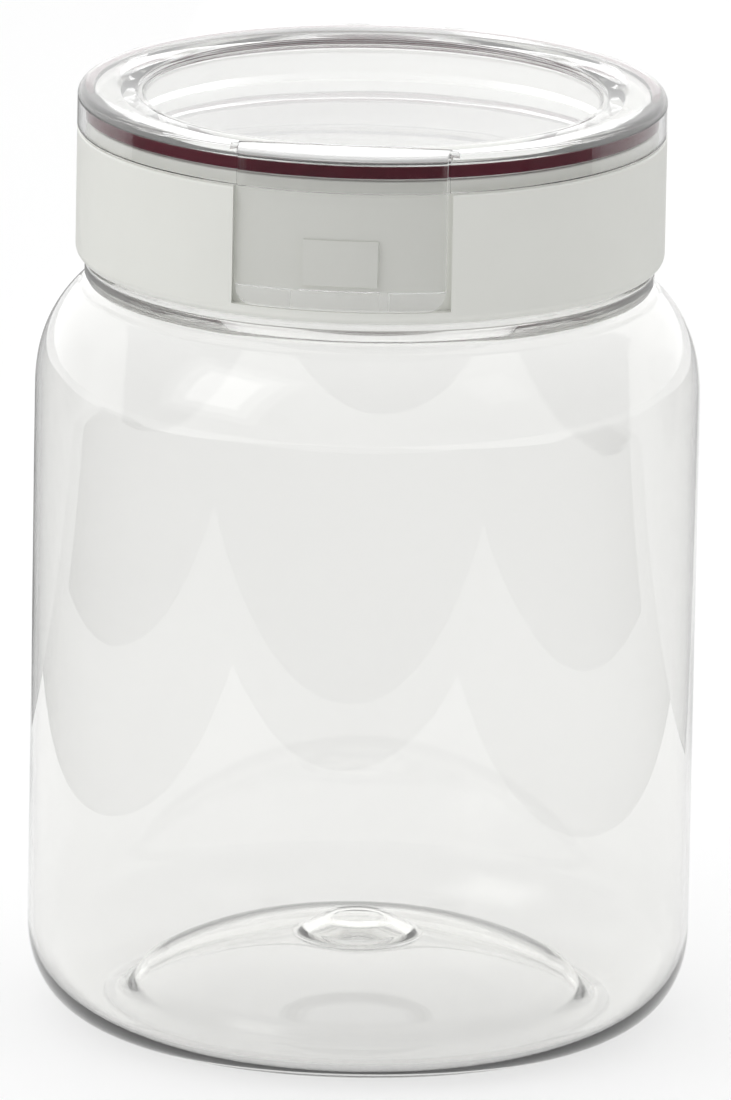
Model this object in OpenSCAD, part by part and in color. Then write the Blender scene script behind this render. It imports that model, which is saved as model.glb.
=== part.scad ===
// Food canister: clear jar, white screw collar, clear flip lid with a front latch.
// Millimetres. Origin: centre of the base. +Z up. The latch faces -Y, the lid hinge +Y.

/* [Jar] */
// outside diameter of the jar wall
body_d = 110; // [108:0.5:112]
// wall thickness of the blown jar
wall = 1.0; // [0.8:0.1:1.4]
// height where the straight wall turns into the shoulder
shoulder_z = 105.5; // [102:0.5:108]
// height of the rounded heel
heel_h = 15.5; // [13:0.5:18]
// height of the base's dome on the inside
dome_h = 13.4; // [11:0.2:15]
// diameter of the raised button in the base
button_d = 19.7; // [16:0.1:22]

/* [Neck] */
// outside diameter of the neck under the thread
neck_d = 87.2; // [86.6:0.1:87.4]
// inside diameter of the mouth
mouth_d = 83.2; // [82.4:0.1:83.6]
// height of the mouth's rim
mouth_z = 143.4; // [143:0.1:143.4]
// rise of the thread in one turn
pitch = 5; // [4.5:0.1:6]
// turns of thread
turns = 1.15; // [0.9:0.05:1.3]

/* [Collar] */
// outside diameter of the collar and the lid
collar_d = 97.3; // [97:0.1:97.6]
// height of the collar's lower edge
collar_z = 128.4; // [128.2:0.1:128.6]
// height of the collar's ledge under the lid's skirt
ledge_z = 150.15; // [150:0.05:150.2]
// height of the lip that the gasket closes on
lip_z = 152.55; // [152.3:0.05:152.55]
// width of the catch boss in front
boss_w = 12.2; // [10:0.2:13]

/* [Lid] */
// height of the lid's crest
top_z = 157.2; // [157.1:0.05:157.3]
// height of the sunken disc
disc_z = 155.6; // [155.2:0.1:155.9]
// diameter of the sunken disc
disc_d = 74.8; // [72:0.2:76]

/* [Latch] */
// width of the latch
latch_w = 34.4; // [34:0.1:34.4]
// outside radius of the latch
latch_r = 49.9; // [49.7:0.05:50.1]
// height of the latch's lower edge
latch_z = 131; // [130.9:0.1:131.3]

/* [Hinge] */
// distance of the lid's hinge pin behind the centre
hinge_y = 51.2; // [51.2:0.05:51.4]
// height of the lid's hinge pin
hinge_z = 151; // [150.9:0.05:151.1]
// length of the hinge pin
pin_l = 19.4; // [18:0.2:19.8]

/* [Hidden] */
$fn = 96;
body_r = body_d / 2;
neck_r = neck_d / 2;
mouth_r = mouth_d / 2;
collar_r = collar_d / 2;
ring_r = 42;
step_r = 36.4;
dome_in = button_d / 2 + 1;
dome_fall = 6.9;
base_t = wall + 0.15;
support_r = 47.1;
heel_n = 2.2;
shoulder_a = 40;
shoulder_b = 27;
shoulder_n = 2.4;
crease_r = 47.85;
pin_r = 1.1;
stub_r = 0.6;
latch_axis_y = -43.2;
latch_axis_z = 156.45;
barrel_r = 0.7;
gasket_z = 152.85;
gasket_top = 155;
lid_under_z = 152.9;
seat_z = 155.7;
recess_z = 130.6;
hook_top = 134.3;
block_top = 134;
gasket_in = 45.9;
crest_r = 44.3;
steps = 14;
per_turn = 48;

clear = [0.86, 0.89, 0.9, 0.35];
white = [0.87, 0.87, 0.84];
maroon = [0.30, 0.05, 0.12];
steel = [0.7, 0.7, 0.72];

// a point on a rounded corner: t = 0 on the flat end, t = 90 on the upright side
function corner(rc, zc, a, b, n, t) = [
  rc + a * pow(sin(t), 2 / n),
  zc + b * pow(cos(t), 2 / n)
];

// a fillet arc from angle t0 to t1 about a centre
function arc(rc, zc, r, t0, t1, k) = [
  for (i = [0:k]) [rc + r * cos(t0 + (t1 - t0) * i / k), zc + r * sin(t0 + (t1 - t0) * i / k)]
];

// the angle where the shoulder reaches a given radius
function shoulder_t(r, a, n) = asin(pow((r - (body_r - shoulder_a)) / a, n / 2));

// the heel, from the standing ring up to the wall
function heel(inset) = [
  for (i = [0:steps])
    corner(ring_r, heel_h, body_r - ring_r - inset, inset * 1.7 - heel_h, heel_n, 90 * i / steps)
];

// the shoulder, from the wall up to the crease
function shoulder(inset, r_end) =
  let (a = shoulder_a - inset, b = shoulder_b - inset, t_end = shoulder_t(r_end, a, shoulder_n))
  [
    for (i = [0:steps])
      corner(body_r - shoulder_a, shoulder_z, a, b, shoulder_n, 90 + (t_end - 90) * i / steps)
  ];

// a point on the line from a to b, a given distance from a
function towards(a, b, d) = a + (b - a) * min(0.45, d / norm(b - a));

// a line through points whose inner corners are rounded over a given distance
function soft(p, d, k) = concat(
  [p[0]],
  [
    for (i = [1:len(p) - 2])
      let (a = towards(p[i], p[i - 1], d), b = towards(p[i], p[i + 1], d))
      for (j = [0:k])
        let (t = j / k)
        a * (1 - t) * (1 - t) + p[i] * 2 * t * (1 - t) + b * t * t
  ],
  [p[len(p) - 1]]
);

// the base's gentle dome, from a step at a given radius in to the button
function dome(r_out, drop) = [
  for (i = [0:steps])
    let (t = 1 - i / steps)
    [dome_in + (r_out - dome_in) * t, dome_h - 0.2 - drop - dome_fall * pow(t, 2.2)]
];

// the base's inner face: ring groove, short steep step, dome and button
inner_base = concat(
  soft([[ring_r, 1.7], [37.9, 3.2], dome(step_r, 0)[0], dome(step_r, 0)[1]], 0.8, 4),
  [for (i = [2:steps]) dome(step_r, 0)[i]],
  soft([
    [dome_in - 0.1, dome_h - 0.2],
    [button_d / 2 - 0.5, dome_h + 0.1],
    [5.4, dome_h + 2.6],
    [0, dome_h + 2.8]
  ], 0.9, 4)
);

// the underside, the base's thickness below it
under_base = concat(
  soft([[ring_r - 2, 0], [36.9, 1.9], dome(step_r - 1, base_t)[0], dome(step_r - 1, base_t)[1]], 0.8, 4),
  [for (i = [2:steps]) dome(step_r - 1, base_t)[i]],
  soft([
    [dome_in - 0.1, dome_h - 0.2 - base_t],
    [button_d / 2 - 1.5, dome_h + 0.05 - base_t],
    [4.4, dome_h + 2.35 - base_t],
    [0, dome_h + 2.55 - base_t]
  ], 0.9, 4)
);

module jar_profile() {
  polygon(concat(
    // underside
    [for (i = [len(under_base) - 1:-1:0]) under_base[i]],
    // outside
    heel(0),
    shoulder(0, crease_r),
    // crease, then the support bead under the collar
    [[support_r + 0.2, 124.3]],
    [[support_r - 0.4, 124.75]],
    [[support_r - 0.4, 125.1]],
    arc(support_r - 0.35, 125.6, 0.35, -90, 0, 3),
    arc(support_r - 0.5, 127.1, 0.5, 0, 90, 3),
    [[neck_r + 0.85, 127.9]],
    arc(neck_r + 1.1, 128.9, 0.8, 225, 180, 3),
    [[neck_r + 0.3, 131.2]],
    [[neck_r, 131.5]],
    arc(neck_r - 0.5, mouth_z - 0.5, 0.5, 0, 90, 4),
    arc(mouth_r + 0.5, mouth_z - 0.5, 0.5, 90, 180, 4),
    // inside
    [[mouth_r, 129.2]],
    arc(mouth_r + 3.2, 129.2, 3.2, 180, 225, 4),
    [for (i = [0:steps]) shoulder(wall, crease_r - 1.6)[steps - i]],
    [for (i = [0:steps]) heel(wall)[steps - i]],
    [for (i = [1:len(inner_base) - 1]) inner_base[i]]
  ));
}

// one turn-and-a-bit of thread: a closed ribbon with a trapezoid section
module thread(r_root, r_crest, z_start, a_start) {
  n = round(turns * per_turn);
  section = [[r_root, -1.05], [r_crest, -0.45], [r_crest, 0.45], [r_root, 1.05]];
  points = [
    for (i = [0:n])
      let (a = a_start + 360 * i / per_turn,
           fade = min(1, min(i, n - i) / 5 + 0.12),
           z = z_start + pitch * i / per_turn)
      for (p = section)
        let (r = r_root + (p[0] - r_root) * fade)
        [r * cos(a), r * sin(a), z + p[1] * (0.5 + 0.5 * fade)]
  ];
  flip = r_crest > r_root;
  sides = [
    for (i = [0:n - 1])
      for (j = [0:3])
        let (a = 4 * i + j, b = 4 * i + (j + 1) % 4, c = b + 4, d = a + 4)
        each (flip ? [[a, b, c], [a, c, d]] : [[a, c, b], [a, d, c]])
  ];
  ends = flip
    ? [[3, 2, 1, 0], [4 * n, 4 * n + 1, 4 * n + 2, 4 * n + 3]]
    : [[0, 1, 2, 3], [4 * n + 3, 4 * n + 2, 4 * n + 1, 4 * n]];
  polyhedron(points = points, faces = concat(sides, ends), convexity = 6);
}

module jar_body() {
  color(clear) {
    rotate_extrude() jar_profile();
    thread(neck_r - 0.4, neck_r + 1.3, 134.4, 200);
  }
}

module mouth_seal() {
  color(maroon)
    rotate_extrude()
      polygon([
        [mouth_r + 0.3, 143.7],
        [neck_r + 1.5, 143.7],
        [neck_r + 1.6, 143.8],
        [neck_r + 1.6, 145.1],
        [neck_r + 1.5, 145.2],
        [mouth_r + 0.3, 145.2]
      ]);
}

// a prism along X from a side outline in Y and Z
module along_x(x0, x1) {
  translate([x0, 0, 0])
    rotate([90, 0, 90])
      linear_extrude(height = x1 - x0) children();
}

module rod_x(x0, x1, y, z, r) {
  translate([x0, y, z])
    rotate([0, 90, 0])
      cylinder(r = r, h = x1 - x0);
}

module collar_profile() {
  polygon(concat(
    [[45.5, collar_z]],
    arc(collar_r - 1.9, collar_z + 1.9, 1.9, -90, 0, 8),
    arc(collar_r - 0.4, ledge_z - 0.4, 0.4, 0, 90, 3),
    [[46.9, ledge_z]],
    arc(46.5, lip_z - 0.4, 0.4, 0, 90, 3),
    arc(45, lip_z - 0.4, 0.4, 90, 180, 3),
    [[44.6, 147.4]],
    [[mouth_r + 0.1, 147.4]],
    [[mouth_r + 0.1, 145.5]],
    [[45.5, 145.5]]
  ));
}

// the front recess that the latch lies in
module latch_recess() {
  intersection() {
    rotate_extrude()
      polygon([[47.2, recess_z], [60, recess_z], [60, 160], [47.2, 160]]);
    translate([-18, -60, 120]) cube([36, 60, 40]);
  }
}

module catch_boss() {
  intersection() {
    rotate_extrude()
      polygon([[46.8, 134.8], [47.95, 134.8], [47.95, 141.2], [47.5, 142.4], [46.8, 142.4]]);
    translate([-boss_w / 2, -60, 130]) cube([boss_w, 60, 20]);
  }
}

module hinge_ear(x0, x1) {
  rod_x(x0, x1, hinge_y, hinge_z, 2.2);
  along_x(x0, x1)
    polygon([
      [46.3, 141.5],
      [47.9, 141.5],
      [hinge_y + 2.12, hinge_z - 0.6],
      [hinge_y, hinge_z],
      [hinge_y - 2.2, hinge_z],
      [hinge_y - 2.2, 149.6],
      [46.3, 149.6]
    ]);
}

module collar_ring() {
  color(white)
    difference() {
      union() {
        difference() {
          rotate_extrude() collar_profile();
          latch_recess();
        }
        catch_boss();
        hinge_ear(6, 9.6);
        hinge_ear(-9.6, -6);
        thread(45.8, 44.05, 132.72, 200);
      }
      rod_x(-12, 12, hinge_y, hinge_z, pin_r - 0.01);
    }
}

module hinge_pin() {
  color(steel)
    rod_x(-pin_l / 2, pin_l / 2, hinge_y, hinge_z, pin_r);
}

// height of the lid's gently crowned bead
function crest(r) = top_z - 0.03 * pow(r - crest_r, 2);

module lid_profile() {
  polygon(concat(
    [[0, disc_z]],
    [[disc_d / 2, disc_z]],
    arc(disc_d / 2, disc_z + 0.7, 0.7, -90, -20, 3),
    arc(disc_d / 2 + 2.1, crest(39.4) - 0.8, 0.8, 150, 100, 4),
    [for (r = [40.2:1.0:47]) [r, crest(r)]],
    arc(collar_r - 1.6, crest(collar_r - 1.6) - 1.6, 1.6, 80, 0, 8),
    [[collar_r, 150.55]],
    [[collar_r - 0.1, 150.45]],
    [[47.35, 150.45]],
    [[47.35, gasket_top + 0.05]],
    [[gasket_in - 0.1, gasket_top + 0.05]],
    [[gasket_in - 0.1, lid_under_z + 0.35]],
    [[gasket_in - 0.45, lid_under_z]],
    [[42.1, lid_under_z]],
    [[42.1, 149.0]],
    [[41.0, 147.9]],
    [[41.0, 144.9]],
    [[40.7, 144.6]],
    [[39.7, 144.6]],
    [[39.7, 152.9]],
    [[38.7, 153.9]],
    [[0, 153.9]]
  ));
}

// the space that the latch and its hinge barrel take out of the lid's bead
module latch_seat() {
  half = latch_w / 2 + 0.3;
  intersection() {
    rotate_extrude()
      polygon([[48.2, 140], [60, 140], [60, 170], [42, 170], [42, seat_z], [48.2, seat_z]]);
    translate([-half, latch_axis_y - 20, 140])
      cube([2 * half, 20, 40]);
  }
  rod_x(-half, half, latch_axis_y, latch_axis_z, barrel_r + 0.3);
  translate([-half, latch_axis_y - 1, latch_axis_z])
    cube([2 * half, 1 + barrel_r + 0.3, 4]);
}

module lid_knuckle() {
  rod_x(-5.7, 5.7, hinge_y, hinge_z, 2.2);
  along_x(-5.7, 5.7)
    polygon([
      [47.8, 150.55],
      [hinge_y - 2.0, 150.55],
      [hinge_y, hinge_z],
      [hinge_y, hinge_z + 2.2],
      [47.8, 154.2]
    ]);
}

module lid_cap() {
  color(clear)
    difference() {
      union() {
        rotate_extrude() lid_profile();
        lid_knuckle();
      }
      latch_seat();
      rod_x(-12, 12, hinge_y, hinge_z, pin_r + 0.06);
      rod_x(latch_w / 2, latch_w / 2 + 1.45, latch_axis_y, latch_axis_z, stub_r + 0.06);
      rod_x(-latch_w / 2 - 1.45, -latch_w / 2, latch_axis_y, latch_axis_z, stub_r + 0.06);
    }
}

module lid_gasket() {
  color(maroon)
    rotate_extrude()
      polygon([
        [gasket_in, gasket_z + 0.25],
        [gasket_in + 0.25, gasket_z],
        [46.9, gasket_z],
        [47.25, gasket_z + 0.3],
        [47.25, gasket_top - 0.2],
        [47.05, gasket_top],
        [gasket_in, gasket_top]
      ]);
}

// the front wall, and the flat top that runs back to the hinge barrel
module latch_shell() {
  intersection() {
    rotate_extrude()
      polygon(concat(
        [[48.65, latch_z]],
        arc(latch_r - 0.6, latch_z + 0.6, 0.6, -90, 0, 4),
        arc(latch_r - 0.7, latch_axis_z + barrel_r - 0.7, 0.7, 0, 90, 4),
        [[41, latch_axis_z + barrel_r]],
        [[41, seat_z + 0.3]],
        [[48.65, seat_z + 0.3]]
      ));
    latch_outline();
    translate([-30, latch_axis_y - 20, 120]) cube([60, 20, 40]);
  }
  rod_x(-latch_w / 2, latch_w / 2, latch_axis_y, latch_axis_z, barrel_r);
}

// the front view of the latch: lower corners rounded
module latch_outline() {
  h = top_z - latch_z + 1;
  r = 3;
  translate([0, -30, latch_z])
    rotate([90, 0, 0])
      linear_extrude(height = 30) {
        translate([-latch_w / 2, r]) square([latch_w, h - r]);
        translate([r - latch_w / 2, 0]) square([latch_w - 2 * r, h]);
        translate([r - latch_w / 2, r]) circle(r = r);
        translate([latch_w / 2 - r, r]) circle(r = r);
      }
}

// an inward rib on the latch between two distances from its middle
module inner_rib(r_in, z0, z1, x0, x1) {
  intersection() {
    rotate_extrude()
      polygon([[r_in, z0], [49.2, z0], [49.2, z1], [r_in + 0.2, z1], [r_in, z1 - 0.2]]);
    translate([x0, -60, z0 - 1]) cube([x1 - x0, 60, z1 - z0 + 2]);
    latch_outline();
  }
}

module latch() {
  color(clear) {
    latch_shell();
    inner_rib(48.3, latch_z + 0.2, hook_top, -6.6, 6.6);
    inner_rib(47.6, latch_z, block_top, -latch_w / 2, -8);
    inner_rib(47.6, latch_z, block_top, 8, latch_w / 2);
    rod_x(-latch_w / 2 - 1.3, 1 - latch_w / 2, latch_axis_y, latch_axis_z, stub_r);
    rod_x(latch_w / 2 - 1, latch_w / 2 + 1.3, latch_axis_y, latch_axis_z, stub_r);
  }
}

jar_body();
mouth_seal();
collar_ring();
hinge_pin();
lid_cap();
lid_gasket();
latch();
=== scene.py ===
# Food canister: the visual model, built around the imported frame.
from math import asin, cos, pi, radians, sin
import bmesh
import bpy
from mathutils import Matrix, Vector


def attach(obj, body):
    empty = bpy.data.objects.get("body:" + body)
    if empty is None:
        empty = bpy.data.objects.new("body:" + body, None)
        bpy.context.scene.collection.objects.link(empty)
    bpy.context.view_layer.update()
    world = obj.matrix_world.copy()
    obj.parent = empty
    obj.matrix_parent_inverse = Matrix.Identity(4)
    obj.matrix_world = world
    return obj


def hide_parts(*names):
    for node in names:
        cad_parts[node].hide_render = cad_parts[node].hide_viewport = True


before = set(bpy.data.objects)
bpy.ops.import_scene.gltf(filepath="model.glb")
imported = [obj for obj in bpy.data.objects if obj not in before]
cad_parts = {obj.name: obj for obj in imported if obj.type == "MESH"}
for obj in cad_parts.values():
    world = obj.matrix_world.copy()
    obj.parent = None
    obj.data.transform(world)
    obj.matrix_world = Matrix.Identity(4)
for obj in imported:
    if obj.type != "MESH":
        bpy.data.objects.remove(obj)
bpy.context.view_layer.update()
scene = bpy.context.scene
MM = 0.001

# ---------------------------------------------------------------- camera
IMAGE_H = 1100
CAMERA_D = 3.4
CAMERA_AZ, CAMERA_EL, CAMERA_ROLL = 5.8, 14.4, 1.05
AIM = Vector((0.0, 0.0, 0.0784))
PIXELS_PER_M = 6035.0


def add_camera():
    az, el, roll = radians(CAMERA_AZ), radians(CAMERA_EL), radians(CAMERA_ROLL)
    back = Vector((sin(az) * cos(el), -cos(az) * cos(el), sin(el)))
    right = Vector((cos(az), sin(az), 0.0))
    up = back.cross(right)
    right_r = right * cos(roll) + up * sin(roll)
    up_r = up * cos(roll) - right * sin(roll)
    data = bpy.data.cameras.new("camera")
    data.sensor_width = 36.0
    data.lens = PIXELS_PER_M * CAMERA_D / IMAGE_H * data.sensor_width
    data.shift_x = 0.0008
    data.clip_end = 50.0
    cam = bpy.data.objects.new("camera", data)
    rot = Matrix((right_r, up_r, back)).transposed().to_4x4()
    cam.matrix_world = Matrix.Translation(AIM + back * CAMERA_D) @ rot
    scene.collection.objects.link(cam)
    scene.camera = cam


add_camera()

# ---------------------------------------------------------------- sizes, in mm, as in the CAD
BODY_R, WALL, SHOULDER_Z, HEEL_H = 55.0, 1.0, 105.5, 15.5
SHOULDER_A, SHOULDER_B, SHOULDER_N = 40.0, 27.0, 2.4
RING_R, HEEL_N, CREASE_R = 42.0, 2.2, 47.85
DOME_H, BUTTON_R = 13.4, 9.85
STEP_R, DOME_IN, DOME_FALL, BASE_T, SUPPORT_R = 36.4, 10.85, 6.9, 1.15, 47.1
NECK_R, MOUTH_R, MOUTH_Z = 43.6, 41.6, 143.4
PITCH, TURNS, PER_TURN = 5.0, 1.15, 96
COLLAR_R, COLLAR_Z, LEDGE_Z, LIP_Z, RECESS_Z = 48.65, 128.4, 150.15, 152.55, 130.6
BOSS_W = 12.2
TOP_Z, DISC_Z, DISC_R = 157.2, 155.6, 37.4
LATCH_W, LATCH_R, LATCH_Z, HOOK_TOP, BLOCK_TOP = 34.4, 49.9, 131.0, 134.3, 134.0
LATCH_AXIS_Y, LATCH_AXIS_Z, STUB_R, BARREL_R = -43.2, 156.45, 0.6, 0.7
HINGE_Y, HINGE_Z, PIN_R, PIN_L = 51.2, 151.0, 1.1, 19.4
GASKET_Z, GASKET_TOP, GASKET_IN, CREST_R = 152.85, 155.0, 45.9, 44.3
LID_UNDER_Z, SEAT_Z = 152.9, 155.7
LEDGE_R, LIP_R = 46.9, 45.0
SKIRT_IN, PLUG_OUT, PLUG_IN, PLUG_Z = 47.35, 41.0, 39.7, 144.6
KNUCKLE_R, KNUCKLE_X, EAR_IN, EAR_OUT = 2.2, 5.7, 6.0, 9.6
BOSS_R, HOOK_R, BLOCK_R, HOOK_X, BLOCK_X = 47.95, 48.3, 47.6, 6.6, 8.0
GAP, RUN_FIT, STUB_L, STUB_HOLE_L = 0.3, 0.06, 1.3, 1.45
ROUND = 192
SAME_POINT = 1e-5
ON_AXIS = 1e-6


# ---------------------------------------------------------------- mesh helpers
def corner(rc, zc, a, b, n, t):
    """A point on a rounded corner: t = 0 on the flat end, t = 90 on the upright side."""
    t = radians(t)
    return (rc + a * max(sin(t), 0) ** (2 / n), zc + b * max(cos(t), 0) ** (2 / n))


def arc(rc, zc, r, t0, t1, k):
    """Points of a fillet arc from angle t0 to t1 about a centre."""
    out = []
    for i in range(k + 1):
        t = radians(t0 + (t1 - t0) * i / k)
        out.append((rc + r * cos(t), zc + r * sin(t)))
    return out


def new_object(name, bm):
    """An object in the scene with the bmesh as its mesh; the bmesh is freed."""
    mesh = bpy.data.meshes.new(name)
    bm.to_mesh(mesh)
    bm.free()
    obj = bpy.data.objects.new(name, mesh)
    scene.collection.objects.link(obj)
    return obj


def settle(obj):
    """Turns the object's modifiers into its mesh."""
    bpy.context.view_layer.update()
    graph = bpy.context.evaluated_depsgraph_get()
    mesh = bpy.data.meshes.new_from_object(obj.evaluated_get(graph))
    obj.modifiers.clear()
    old = obj.data
    obj.data = mesh
    bpy.data.meshes.remove(old)


def finish_mesh(obj, sharp=35.0):
    """Smooth shading whose normals follow the large faces, so that flats don't act as lenses."""
    for p in obj.data.polygons:
        p.use_smooth = True
    obj.data.set_sharp_from_angle(angle=radians(sharp))
    mod = obj.modifiers.new("normals", "WEIGHTED_NORMAL")
    mod.mode = "FACE_AREA"
    mod.weight = 100
    mod.keep_sharp = True
    settle(obj)


def lathe(name, outline, segments=ROUND):
    """A closed body of revolution about Z from a closed outline of (radius, height)."""
    pts = [p for i, p in enumerate(outline)
           if abs(p[0] - outline[i - 1][0]) + abs(p[1] - outline[i - 1][1]) > SAME_POINT]
    bm = bmesh.new()
    rings = []
    for r, z in pts:
        if r < ON_AXIS:
            rings.append([bm.verts.new((0, 0, z * MM))])
        else:
            rings.append([
                bm.verts.new((r * MM * cos(2 * pi * k / segments),
                              r * MM * sin(2 * pi * k / segments), z * MM))
                for k in range(segments)
            ])
    for i in range(len(rings)):
        a, b = rings[i - 1], rings[i]
        if len(a) == 1 and len(b) == 1:
            continue
        for k in range(segments):
            n = (k + 1) % segments
            if len(a) == 1:
                bm.faces.new((a[0], b[k], b[n]))
            elif len(b) == 1:
                bm.faces.new((a[k], b[0], a[n]))
            else:
                bm.faces.new((a[k], b[k], b[n], a[n]))
    bmesh.ops.recalc_face_normals(bm, faces=bm.faces)
    return new_object(name, bm)


def block(x0, x1, y0, y1, z0, z1):
    bm = bmesh.new()
    bmesh.ops.create_cube(bm, size=1.0)
    for v in bm.verts:
        v.co = Vector((
            (x0 if v.co.x < 0 else x1) * MM,
            (y0 if v.co.y < 0 else y1) * MM,
            (z0 if v.co.z < 0 else z1) * MM,
        ))
    return new_object("tool", bm)


def prism(points, place):
    """A prism: points in 2D, and place(u, v, end) giving the corner in mm for end 0 or 1."""
    bm = bmesh.new()
    low = [bm.verts.new(Vector(place(u, v, 0)) * MM) for u, v in points]
    high = [bm.verts.new(Vector(place(u, v, 1)) * MM) for u, v in points]
    n = len(points)
    bm.faces.new(low)
    bm.faces.new(list(reversed(high)))
    for i in range(n):
        j = (i + 1) % n
        bm.faces.new((low[j], low[i], high[i], high[j]))
    bmesh.ops.recalc_face_normals(bm, faces=bm.faces)
    return new_object("tool", bm)


def rod_x(x0, x1, y, z, r, sides=48):
    circle = [(y + r * cos(2 * pi * i / sides), z + r * sin(2 * pi * i / sides))
              for i in range(sides)]
    return prism(circle, lambda u, v, e: ((x1 if e else x0), u, v))


def along_x(x0, x1, outline):
    return prism(outline, lambda u, v, e: ((x1 if e else x0), u, v))


def boolean(obj, tool, how):
    mod = obj.modifiers.new("cut", "BOOLEAN")
    mod.operation = how
    mod.solver = "EXACT"
    mod.object = tool
    settle(obj)
    tool_mesh = tool.data
    bpy.data.objects.remove(tool)
    bpy.data.meshes.remove(tool_mesh)
    return obj


def cut(obj, *tools):
    for t in tools:
        boolean(obj, t, "DIFFERENCE")
    return obj


def join(obj, *tools):
    for t in tools:
        boolean(obj, t, "UNION")
    return obj


def keep(obj, tool):
    return boolean(obj, tool, "INTERSECT")


# ---------------------------------------------------------------- outlines
def shoulder_t(r, a, n):
    """The angle where the shoulder reaches a given radius."""
    return 180 / pi * asin(((r - (BODY_R - SHOULDER_A)) / a) ** (n / 2))


def heel(inset, k=20):
    wide, high = BODY_R - RING_R - inset, inset * 1.7 - HEEL_H
    return [corner(RING_R, HEEL_H, wide, high, HEEL_N, 90 * i / k) for i in range(k + 1)]


def shoulder(inset, r_end, k=24):
    centre, a, b = BODY_R - SHOULDER_A, SHOULDER_A - inset, SHOULDER_B - inset
    t_end = shoulder_t(r_end, a, SHOULDER_N)
    return [corner(centre, SHOULDER_Z, a, b, SHOULDER_N, 90 + (t_end - 90) * i / k)
            for i in range(k + 1)]


def towards(a, b, d):
    """The point on the line from a to b at distance d from a."""
    a, b = Vector(a), Vector(b)
    return a + (b - a) * min(0.45, d / (b - a).length)


def soft(points, d, k):
    """A line through points whose inner corners are rounded over a distance."""
    out = [points[0]]
    for before, here, after in zip(points, points[1:], points[2:]):
        a, b, c = towards(here, before, d), towards(here, after, d), Vector(here)
        for j in range(k + 1):
            t = j / k
            out.append(tuple(a * (1 - t) ** 2 + c * 2 * t * (1 - t) + b * t * t))
    return out + [points[-1]]


def dome(r_out, drop, k=28):
    """The base's gentle dome, from a step at a given radius in to the button."""
    crown = DOME_H - 0.2 - drop
    return [(DOME_IN + (r_out - DOME_IN) * (1 - i / k), crown - DOME_FALL * (1 - i / k) ** 2.2)
            for i in range(k + 1)]


def inner_base():
    """The base's inner face: ring groove, short steep step, dome and button."""
    arch = dome(STEP_R, 0)
    pts = soft([(RING_R, 1.7), (37.9, 3.2), arch[0], arch[4]], 1.5, 8) + arch[5:]
    return pts + soft([(DOME_IN - 0.1, DOME_H - 0.2), (BUTTON_R - 0.5, DOME_H + 0.1),
                       (5.4, DOME_H + 2.6), (0, DOME_H + 2.8)], 0.9, 6)


def under_base():
    """The underside, the base's thickness below it."""
    arch, low = dome(STEP_R - 1, BASE_T), DOME_H - BASE_T
    pts = soft([(RING_R - 2, 0), (36.9, 1.9), arch[0], arch[4]], 1.5, 8) + arch[5:]
    return pts + soft([(DOME_IN - 0.1, low - 0.2), (BUTTON_R - 1.5, low + 0.05),
                       (4.4, low + 2.35), (0, low + 2.55)], 0.9, 6)


def jar_outline():
    pts = list(reversed(under_base()))
    pts += heel(0)
    pts += shoulder(0, CREASE_R)
    pts += [(SUPPORT_R + 0.2, 124.3), (SUPPORT_R - 0.4, 124.75), (SUPPORT_R - 0.4, 125.1)]
    pts += arc(SUPPORT_R - 0.35, 125.6, 0.35, -90, 0, 4)
    pts += arc(SUPPORT_R - 0.5, 127.1, 0.5, 0, 90, 5)
    pts += [(NECK_R + 0.85, 127.9)]
    pts += arc(NECK_R + 1.1, 128.9, 0.8, 225, 180, 4)
    pts += [(NECK_R + 0.3, 131.2), (NECK_R, 131.5)]
    pts += arc(NECK_R - 0.5, MOUTH_Z - 0.5, 0.5, 0, 90, 5)
    pts += arc(MOUTH_R + 0.5, MOUTH_Z - 0.5, 0.5, 90, 180, 5)
    pts += [(MOUTH_R, 129.2)]
    pts += arc(MOUTH_R + 3.2, 129.2, 3.2, 180, 225, 6)
    pts += list(reversed(shoulder(WALL, CREASE_R - 1.6)))
    pts += list(reversed(heel(WALL)))
    pts += inner_base()[1:]
    return pts


def thread(r_root, r_crest, z_start, a_start):
    """A turn and a bit of thread as a closed ribbon."""
    n = round(TURNS * PER_TURN)
    section = [(r_root, -1.05), (r_crest, -0.45), (r_crest, 0.45), (r_root, 1.05)]
    bm = bmesh.new()
    rings = []
    for i in range(n + 1):
        a = radians(a_start + 360 * i / PER_TURN)
        fade = min(1.0, min(i, n - i) / 10 + 0.12)
        z = z_start + PITCH * i / PER_TURN
        ring = []
        for pr, pz in section:
            r = r_root + (pr - r_root) * fade
            point = Vector((r * cos(a), r * sin(a), z + pz * (0.5 + 0.5 * fade)))
            ring.append(bm.verts.new(point * MM))
        rings.append(ring)
    for a, b in zip(rings, rings[1:]):
        for j in range(4):
            k = (j + 1) % 4
            bm.faces.new((a[j], a[k], b[k], b[j]))
    bm.faces.new(rings[0])
    bm.faces.new(list(reversed(rings[-1])))
    bmesh.ops.recalc_face_normals(bm, faces=bm.faces)
    return new_object("tool", bm)


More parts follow.
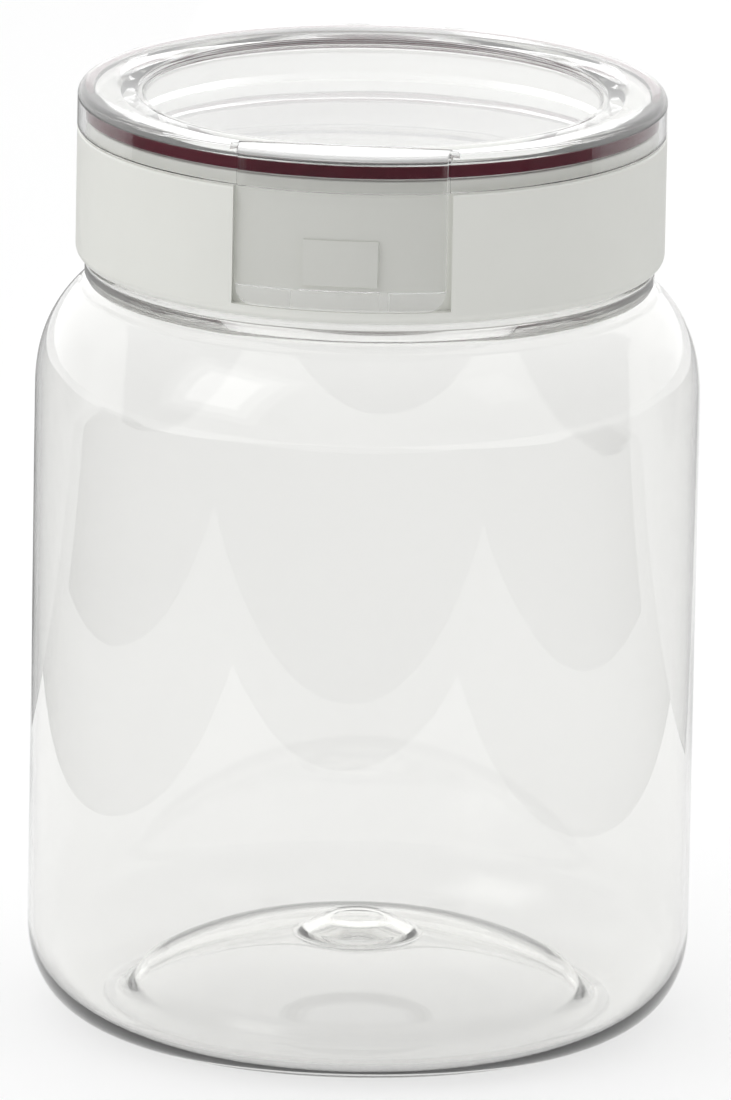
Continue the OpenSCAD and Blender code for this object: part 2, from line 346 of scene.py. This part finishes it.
# ---------------------------------------------------------------- materials
class Nodes:
    """A short way to write the node tree of a material or of the world."""

    def __init__(self, owner, output="ShaderNodeOutputMaterial"):
        owner.use_nodes = True
        self.owner = owner
        self.tree = owner.node_tree
        self.tree.nodes.clear()
        self.out = self.add(output)

    def add(self, kind, **inputs):
        node = self.tree.nodes.new(kind)
        for key, value in inputs.items():
            key = key.replace("_", " ")
            if hasattr(value, "is_output"):
                self.tree.links.new(value, node.inputs[key])
            else:
                node.inputs[key].default_value = value
        return node

    def link(self, a, b):
        self.tree.links.new(a, b)

    def noise(self, scale, detail=3.0, rough=0.55, stretch=None):
        coord = self.add("ShaderNodeTexCoord")
        vector = coord.outputs["Object"]
        if stretch:
            mapping = self.add("ShaderNodeMapping")
            mapping.inputs["Scale"].default_value = stretch
            self.link(vector, mapping.inputs["Vector"])
            vector = mapping.outputs["Vector"]
        tex = self.add("ShaderNodeTexNoise", Scale=scale, Detail=detail, Roughness=rough)
        self.link(vector, tex.inputs["Vector"])
        return tex.outputs["Fac"]

    def span(self, value, low, high, from_low=0.3, from_high=0.7):
        node = self.add("ShaderNodeMapRange")
        self.link(value, node.inputs["Value"])
        node.inputs["From Min"].default_value = from_low
        node.inputs["From Max"].default_value = from_high
        node.inputs["To Min"].default_value = low
        node.inputs["To Max"].default_value = high
        return node.outputs["Result"]

    def mix(self, fac, a, b):
        node = self.tree.nodes.new("ShaderNodeMix")
        node.data_type = "RGBA"
        self.link(fac, node.inputs[0])
        node.inputs[6].default_value = (*a, 1)
        node.inputs[7].default_value = (*b, 1)
        return node.outputs[2]

    def math(self, operation, first, second=None):
        node = self.add("ShaderNodeMath")
        node.operation = operation
        self.link(first, node.inputs[0])
        if hasattr(second, "is_output"):
            self.link(second, node.inputs[1])
        elif second is not None:
            node.inputs[1].default_value = second
        return node.outputs[0]

    def parts(self, kind):
        """X, Y and Z of one of the texture coordinates."""
        node = self.add("ShaderNodeSeparateXYZ")
        self.link(self.add("ShaderNodeTexCoord").outputs[kind], node.inputs[0])
        return node.outputs

    def blend(self, fac, first, second):
        node = self.add("ShaderNodeMixShader")
        for i, socket in enumerate((fac, first, second)):
            self.link(socket, node.inputs[i])
        return node.outputs[0]

    def bump(self, height, strength, distance):
        node = self.add("ShaderNodeBump", Strength=strength, Distance=distance)
        self.link(height, node.inputs["Height"])
        return node.outputs["Normal"]


def clear_plastic(name, ior, tint, shade, wave, wave_depth, absorb, painted_whitening, edge_highlight):
    """Clear polished plastic: faint flow waves, fine handling marks, light from lamps passes.

    The height band (where it starts, over how much height it comes on, and how clear the plastic
    stays there) makes the plastic whiter and less clear from that height on: painted brightness
    that stands in for highlights and light caught inside the plastic. The edge clarity is how
    clear the faces that look sideways, up or down are: a painted highlight along those faces.
    """
    n = Nodes(bpy.data.materials.new(name))
    bsdf = n.add("ShaderNodeBsdfPrincipled", IOR=ior)
    whitening_z, whitening_rise, whitened_clarity = painted_whitening
    # painted brightness: whiter, less clear plastic from a given height on
    height = n.parts("Object")["Z"]
    painted_whitening_band = n.span(height, 1.0, whitened_clarity, whitening_z * MM, (whitening_z + whitening_rise) * MM)
    # painted highlight: faces that look sideways, up or down are made less clear
    facing = n.parts("Normal")
    highlight_faces = n.math("MAXIMUM", n.math("ABSOLUTE", facing["X"]), n.math("ABSOLUTE", facing["Z"]))
    clear = n.math("MULTIPLY", painted_whitening_band, n.span(highlight_faces, 1.0, edge_highlight, 0.6, 0.95))
    n.link(clear, bsdf.inputs["Transmission Weight"])
    n.link(n.mix(n.noise(22.0), tint, shade), bsdf.inputs["Base Color"])
    n.link(n.span(n.noise(900.0, 2.0), 0.0, 0.02, 0.35, 0.75), bsdf.inputs["Roughness"])
    n.link(n.bump(n.noise(wave, 1.5), 0.5, wave_depth), bsdf.inputs["Normal"])
    path = n.add("ShaderNodeLightPath")
    see = n.add("ShaderNodeBsdfTransparent", Color=(0.95, 0.95, 0.95, 1))
    shader = bsdf.outputs[0]
    for ray in ("Is Diffuse Ray", "Is Shadow Ray"):
        shader = n.blend(path.outputs[ray], shader, see.outputs[0])
    n.link(shader, n.out.inputs["Surface"])
    inside = n.add("ShaderNodeVolumeAbsorption", Color=(0.90, 0.90, 0.892, 1), Density=absorb)
    n.link(inside.outputs[0], n.out.inputs["Volume"])
    return n.owner


def white_plastic():
    """Satin moulded polypropylene: a trace of grain and cloud, slightly waxy."""
    n = Nodes(bpy.data.materials.new("collar_white"))
    bsdf = n.add("ShaderNodeBsdfPrincipled", IOR=1.49)
    cloud = n.mix(n.noise(60.0), (0.735, 0.74, 0.70), (0.775, 0.78, 0.74))
    n.link(cloud, bsdf.inputs["Base Color"])
    n.link(n.span(n.noise(380.0), 0.32, 0.44), bsdf.inputs["Roughness"])
    n.link(n.bump(n.noise(2600.0, 2.0), 0.25, 0.00002), bsdf.inputs["Normal"])
    n.link(bsdf.outputs[0], n.out.inputs["Surface"])
    return n.owner


def silicone(name, dark, light):
    """Satin silicone rubber: slight clouding and a fine, dry grain."""
    n = Nodes(bpy.data.materials.new(name))
    bsdf = n.add("ShaderNodeBsdfPrincipled", IOR=1.42)
    n.link(n.mix(n.noise(180.0), dark, light), bsdf.inputs["Base Color"])
    n.link(n.span(n.noise(700.0), 0.36, 0.52), bsdf.inputs["Roughness"])
    n.link(n.bump(n.noise(1800.0, 2.0), 0.3, 0.00003), bsdf.inputs["Normal"])
    n.link(bsdf.outputs[0], n.out.inputs["Surface"])
    return n.owner


def drawn_steel():
    """Drawn steel: fine lines along the pin."""
    n = Nodes(bpy.data.materials.new("pin_steel"))
    bsdf = n.add("ShaderNodeBsdfPrincipled", Metallic=1.0)
    lines = n.noise(500.0, 3.0, 0.6, (0.06, 1.0, 1.0))
    n.link(n.mix(lines, (0.52, 0.52, 0.54), (0.68, 0.68, 0.69)), bsdf.inputs["Base Color"])
    n.link(n.span(lines, 0.22, 0.4), bsdf.inputs["Roughness"])
    n.link(n.bump(lines, 0.3, 0.00002), bsdf.inputs["Normal"])
    n.link(bsdf.outputs[0], n.out.inputs["Surface"])
    return n.owner


def dress(obj, mat, body, slot, *nodes):
    """Gives a finished piece its material, its body and the CAD nodes that it stands for."""
    obj.data.materials.clear()
    obj.data.materials.append(mat)
    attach(obj, body)
    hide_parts(*nodes)


# ---------------------------------------------------------------- the jar
# From 125 mm up the neck is made a little whiter and less clear: painted brightness for the light
# band under the collar.
jar_mat = clear_plastic("jar_clear", 1.50, (0.945, 0.945, 0.936), (0.925, 0.925, 0.916),
                        18.0, 0.00022, 100.0, (124.0, 1.0, 0.90), 1.0)
jar = lathe("jar_shell", jar_outline())
join(jar, thread(NECK_R - 0.4, NECK_R + 1.3, 134.4, 200))
finish_mesh(jar)
dress(jar, jar_mat, "jar", "jar_clear", "jar_body")

# ---------------------------------------------------------------- the mouth seal
seal_outline = [
    (MOUTH_R + 0.3, 143.75), (MOUTH_R + 0.4, 143.7), (NECK_R + 1.5, 143.7), (NECK_R + 1.6, 143.8),
    (NECK_R + 1.6, 145.1), (NECK_R + 1.5, 145.2), (MOUTH_R + 0.4, 145.2), (MOUTH_R + 0.3, 145.15),
]
seal = lathe("mouth_packing", seal_outline)
finish_mesh(seal, 60)
dress(seal, silicone("seal_maroon", (0.085, 0.007, 0.018), (0.12, 0.010, 0.026)), "seal",
      "seal_maroon", "mouth_seal")


# ---------------------------------------------------------------- the collar
def collar_outline():
    pts = [(45.5, COLLAR_Z)]
    pts += arc(COLLAR_R - 1.9, COLLAR_Z + 1.9, 1.9, -90, 0, 10)
    pts += arc(COLLAR_R - 0.4, LEDGE_Z - 0.4, 0.4, 0, 90, 5)
    pts += [(LEDGE_R, LEDGE_Z)]
    pts += arc(LEDGE_R - 0.4, LIP_Z - 0.4, 0.4, 0, 90, 4)
    pts += arc(LIP_R, LIP_Z - 0.4, 0.4, 90, 180, 4)
    pts += [(44.6, 147.4), (MOUTH_R + 0.1, 147.4), (MOUTH_R + 0.1, 145.5), (45.5, 145.5)]
    return pts


def sector(outline, x0, x1, z0, z1):
    """The front part of a body of revolution between two planes across X."""
    return keep(lathe("tool", outline), block(x0, x1, -60, 0, z0, z1))


def hinge_ear(x0, x1):
    web = along_x(x0, x1, [
        (46.3, 141.5), (47.9, 141.5), (HINGE_Y + 2.12, HINGE_Z - 0.6), (HINGE_Y, HINGE_Z),
        (HINGE_Y - KNUCKLE_R, HINGE_Z), (HINGE_Y - KNUCKLE_R, 149.6), (46.3, 149.6),
    ])
    return join(rod_x(x0, x1, HINGE_Y, HINGE_Z, KNUCKLE_R), web)


collar = lathe("collar_shell", collar_outline())
recess = [(47.2, RECESS_Z), (60, RECESS_Z), (60, 160), (47.2, 160)]
cut(collar, sector(recess, -18, 18, 120, 165))
boss = [(46.8, 134.8), (BOSS_R - 0.1, 134.8), (BOSS_R, 134.9),
        (BOSS_R, 141.2), (47.5, 142.4), (46.8, 142.4)]
join(collar, sector(boss, -BOSS_W / 2, BOSS_W / 2, 130, 150))
join(collar, hinge_ear(EAR_IN, EAR_OUT), hinge_ear(-EAR_OUT, -EAR_IN))
join(collar, thread(45.8, 44.05, 132.72, 200))
cut(collar, rod_x(-12, 12, HINGE_Y, HINGE_Z, PIN_R))
finish_mesh(collar)
dress(collar, white_plastic(), "collar", "collar_white", "collar_ring")

# ---------------------------------------------------------------- the hinge pin
pin_end = [(0, -PIN_L / 2), (PIN_R - 0.25, -PIN_L / 2), (PIN_R, 0.25 - PIN_L / 2),
           (PIN_R, PIN_L / 2 - 0.25), (PIN_R - 0.25, PIN_L / 2), (0, PIN_L / 2)]
pin = lathe("lid_pin", pin_end, 48)
pin_place = Matrix.Translation(Vector((0, HINGE_Y, HINGE_Z)) * MM)
pin.data.transform(pin_place @ Matrix.Rotation(pi / 2, 4, "Y"))
finish_mesh(pin)
dress(pin, drawn_steel(), "collar", "pin_steel", "hinge_pin")


# ---------------------------------------------------------------- the lid
def crest(r):
    """Height of the lid's gently crowned bead."""
    return TOP_Z - 0.03 * (r - CREST_R) ** 2


def lid_outline():
    pts = [(0, DISC_Z), (DISC_R, DISC_Z)]
    pts += arc(DISC_R, DISC_Z + 0.7, 0.7, -90, -20, 5)
    pts += arc(DISC_R + 2.1, crest(39.4) - 0.8, 0.8, 150, 100, 6)
    pts += [(r / 2, crest(r / 2)) for r in range(80, 95)]
    pts += arc(COLLAR_R - 1.6, crest(COLLAR_R - 1.6) - 1.6, 1.6, 80, 0, 12)
    # skirt
    pts += [(COLLAR_R, 150.55), (COLLAR_R - 0.1, 150.45),
            (SKIRT_IN + 0.1, 150.45), (SKIRT_IN, 150.55)]
    # gasket groove
    pts += [(SKIRT_IN, GASKET_TOP + 0.05), (GASKET_IN - 0.1, GASKET_TOP + 0.05),
            (GASKET_IN - 0.1, LID_UNDER_Z + 0.35), (GASKET_IN - 0.45, LID_UNDER_Z)]
    # plug skirt
    pts += [(PLUG_OUT + 1.1, LID_UNDER_Z), (PLUG_OUT + 1.1, 149.0), (PLUG_OUT, 147.9),
            (PLUG_OUT, PLUG_Z + 0.3), (PLUG_OUT - 0.3, PLUG_Z),
            (PLUG_IN, PLUG_Z), (PLUG_IN, LID_UNDER_Z)]
    pts += arc(PLUG_IN - 1.0, LID_UNDER_Z, 1.0, 0, 90, 5)
    pts += [(0, 153.9)]
    return pts


def cut_latch_seat(obj, half):
    """Takes the latch's place and its hinge barrel's seat out of the bead."""
    r, y, z = BARREL_R + GAP, LATCH_AXIS_Y, LATCH_AXIS_Z
    room = [(48.2, 140), (60, 140), (60, 170), (42, 170), (42, SEAT_Z), (48.2, SEAT_Z)]
    cut(obj, keep(lathe("tool", room), block(-half, half, y - 20, y, 140, 180)))
    cut(obj, rod_x(-half, half, y, z, r, 64), block(-half, half, y - 1, y + r, z, z + 4))


lid = lathe("lid_shell", lid_outline())
knuckle_web = along_x(-KNUCKLE_X, KNUCKLE_X, [
    (47.8, 150.55), (HINGE_Y - 2.0, 150.55), (HINGE_Y, HINGE_Z),
    (HINGE_Y, HINGE_Z + KNUCKLE_R), (47.8, 154.2),
])
join(lid, join(rod_x(-KNUCKLE_X, KNUCKLE_X, HINGE_Y, HINGE_Z, KNUCKLE_R), knuckle_web))
side = LATCH_W / 2
cut_latch_seat(lid, side + GAP)
cut(lid, rod_x(-12, 12, HINGE_Y, HINGE_Z, PIN_R + RUN_FIT))
for x0, x1 in ((side, side + STUB_HOLE_L), (-side - STUB_HOLE_L, -side)):
    cut(lid, rod_x(x0, x1, LATCH_AXIS_Y, LATCH_AXIS_Z, STUB_R + RUN_FIT, 32))
finish_mesh(lid)
# From 155.5 mm up the bead's top is made whiter and less clear: painted brightness for the bead's
# highlights and the light caught in it.
lid_mat = clear_plastic("lid_clear", 1.52, (0.99, 0.99, 0.988), (0.98, 0.982, 0.978),
                        26.0, 0.00015, 30.0, (155.1, 0.4, 0.88), 1.0)
dress(lid, lid_mat, "lid", "lid_clear", "lid_cap")

# ---------------------------------------------------------------- the gasket
gasket_outline = [(GASKET_IN, GASKET_Z + 0.25), (GASKET_IN + 0.25, GASKET_Z), (46.9, GASKET_Z)]
gasket_outline += arc(46.9, GASKET_Z + 0.35, 0.35, -90, 0, 4)
gasket_outline += arc(47.0, GASKET_TOP - 0.25, 0.25, 0, 90, 4)
gasket_outline += [(GASKET_IN, GASKET_TOP)]
gasket = lathe("lid_packing", gasket_outline)
finish_mesh(gasket, 60)
dress(gasket, silicone("gasket_maroon", (0.075, 0.004, 0.013), (0.10, 0.006, 0.019)), "lid",
      "gasket_maroon", "lid_gasket")


# ---------------------------------------------------------------- the latch
def latch_front():
    """The latch's outline from the front, with rounded lower corners, as a prism along Y."""
    r, top = 3.0, TOP_Z + 1
    pts = [(-side, top)]
    pts += arc(r - side, LATCH_Z + r, r, 180, 270, 10)
    pts += arc(side - r, LATCH_Z + r, r, 270, 360, 10)
    pts += [(side, top)]
    return prism(pts, lambda u, v, e: (u, (-30 if e else -60), v))


def rib_ring(r_in, z0, z1):
    """The ring that an inward rib is a part of."""
    section = [(r_in, z0), (49.2, z0), (49.2, z1), (r_in + 0.2, z1), (r_in, z1 - 0.2)]
    return lathe("tool", section)


latch_section = [(COLLAR_R, LATCH_Z)]
latch_section += arc(LATCH_R - 0.6, LATCH_Z + 0.6, 0.6, -90, 0, 6)
latch_top = LATCH_AXIS_Z + BARREL_R
latch_section += arc(LATCH_R - 0.7, latch_top - 0.7, 0.7, 0, 90, 8)
latch_section += [(41, latch_top), (41, SEAT_Z + GAP), (COLLAR_R, SEAT_Z + GAP)]
latch = lathe("latch_tab", latch_section)
join(latch, rib_ring(BLOCK_R, LATCH_Z, BLOCK_TOP))
keep(latch, block(-30, 30, -60, LATCH_AXIS_Y, 120, 160))
keep(latch, latch_front())
cut(latch, keep(lathe("tool", [(40, 120), (COLLAR_R, 120), (COLLAR_R, 135), (40, 135)]),
                block(-BLOCK_X, BLOCK_X, -60, 0, 120, 135)))
join(latch, keep(rib_ring(HOOK_R, LATCH_Z + 0.3, HOOK_TOP),
                 block(-HOOK_X, HOOK_X, -60, 0, LATCH_Z - 0.7, HOOK_TOP + 1)))
join(latch, rod_x(-side, side, LATCH_AXIS_Y, LATCH_AXIS_Z, BARREL_R, 64))
for x0, x1 in ((-side - STUB_L, 1 - side), (side - 1, side + STUB_L)):
    join(latch, rod_x(x0, x1, LATCH_AXIS_Y, LATCH_AXIS_Z, STUB_R, 32))
finish_mesh(latch)
# Below 134 mm the hook strip and blocks are made whiter and less clear, and faces that look
# sideways, up or down much less clear: painted highlights for their glints.
latch_mat = clear_plastic("latch_clear", 1.52, (0.99, 0.99, 0.988), (0.98, 0.982, 0.978),
                          26.0, 0.00015, 30.0, (134.6, -0.6, 0.90), 0.30)
dress(latch, latch_mat, "latch", "latch_clear", "latch")


# ---------------------------------------------------------------- floor, world and lamps
FLOOR_HALF = 6.0
LAMP_AIM = Vector((0.0, 0.0, 0.08))
KEY_AZ, KEY_EL = -52, 32


def add_floor():
    bm = bmesh.new()
    bmesh.ops.create_grid(bm, x_segments=1, y_segments=1, size=FLOOR_HALF)
    floor = new_object("floor", bm)
    n = Nodes(bpy.data.materials.new("floor"))
    bsdf = n.add("ShaderNodeBsdfPrincipled", Roughness=0.9)
    n.link(n.mix(n.noise(3.0), (0.93, 0.93, 0.93), (0.95, 0.95, 0.95)), bsdf.inputs["Base Color"])
    n.link(bsdf.outputs[0], n.out.inputs["Surface"])
    floor.data.materials.append(n.owner)


def add_world():
    """Soft studio: bright above and behind, dimmer towards the front and the right."""
    scene.world = bpy.data.worlds.new("studio")
    n = Nodes(scene.world, "ShaderNodeOutputWorld")
    back = n.add("ShaderNodeBackground", Color=(1, 1, 1, 1))
    toward = n.parts("Generated")
    front = n.span(toward["Y"], 0.47, 1.08, -0.75, 0.35)
    above = n.span(toward["Z"], 0.0, 0.36, 0.25, 0.9)
    right = n.span(toward["X"], 0.0, -0.22, 0.0, 0.9)
    behind = n.span(toward["Y"], 0.0, 0.35, 0.2, 0.8)
    mirrored = n.math("MULTIPLY", n.add("ShaderNodeLightPath").outputs["Is Glossy Ray"], behind)
    strength = front
    for part in (above, right, mirrored):
        strength = n.math("ADD", strength, part)
    n.link(strength, back.inputs["Strength"])
    n.link(back.outputs[0], n.out.inputs[0])


def add_lamp(name, az, el, distance, width, height, power):
    """A softbox aimed at the canister; az is measured from the front, positive to the right."""
    data = bpy.data.lights.new(name, "AREA")
    data.shape = "RECTANGLE"
    data.size, data.size_y = width, height
    data.energy = power
    a, e = radians(az), radians(el)
    where = Vector((sin(a) * cos(e), -cos(a) * cos(e), sin(e))) * distance + LAMP_AIM
    lamp = bpy.data.objects.new(name, data)
    scene.collection.objects.link(lamp)
    turn = (where - LAMP_AIM).to_track_quat("Z", "Y").to_matrix().to_4x4()
    lamp.matrix_world = Matrix.Translation(where) @ turn


def add_card(name, grey, x0, x1, y0, y1):
    """A dark card on the floor, met only by reflections, as a studio flag."""
    card = block(x0, x1, y0, y1, 0.5, 1.0)
    n = Nodes(bpy.data.materials.new(name))
    dark = n.add("ShaderNodeBsdfDiffuse", Color=(grey, grey, grey, 1))
    n.link(dark.outputs[0], n.out.inputs["Surface"])
    card.data.materials.append(n.owner)
    card.visible_camera = card.visible_diffuse = False
    card.visible_transmission = card.visible_shadow = False


def add_inner_card(name, x0, x1, y0, y1):
    """A card for light that leaves the clear pieces after a reflection inside them."""
    card = block(x0, x1, y0, y1, 1.5, 2.0)
    n = Nodes(bpy.data.materials.new(name))
    dark = n.add("ShaderNodeBsdfDiffuse", Color=(0.02, 0.02, 0.02, 1))
    see = n.add("ShaderNodeBsdfTransparent")
    depth = n.add("ShaderNodeLightPath").outputs["Glossy Depth"]
    reflected = n.math("GREATER_THAN", depth, 0.5)
    shader = n.blend(reflected, see.outputs[0], dark.outputs[0])
    n.link(shader, n.out.inputs["Surface"])
    card.data.materials.append(n.owner)
    card.visible_camera = card.visible_diffuse = False
    card.visible_glossy = card.visible_shadow = False


add_floor()
add_card("card_front", 0.02, -900, 900, -3600, -260)
add_card("card_left", 0.06, -1600, -190, -260, 160)
add_card("card_right", 0.10, 190, 1600, -260, 160)
add_card("card_left_back", 0.30, -1200, -110, 160, 900)
add_card("card_right_back", 0.45, 110, 1200, 160, 900)
add_inner_card("inner_front", -900, 900, -1100, -300)
add_inner_card("inner_left", -1100, -300, -300, 120)
add_inner_card("inner_right", 300, 1100, -300, 120)
add_world()
add_lamp("key_wide", KEY_AZ, KEY_EL, 2.30, 1.7, 1.9, 3.2)
add_lamp("key_mid", KEY_AZ, KEY_EL, 2.25, 1.25, 1.45, 2.8)
add_lamp("key", KEY_AZ, KEY_EL, 2.2, 0.8, 1.0, 2.0)
add_lamp("fill", 60, 40, 2.4, 0.7, 1.0, 0.5)
scene.view_settings.view_transform = "Standard"
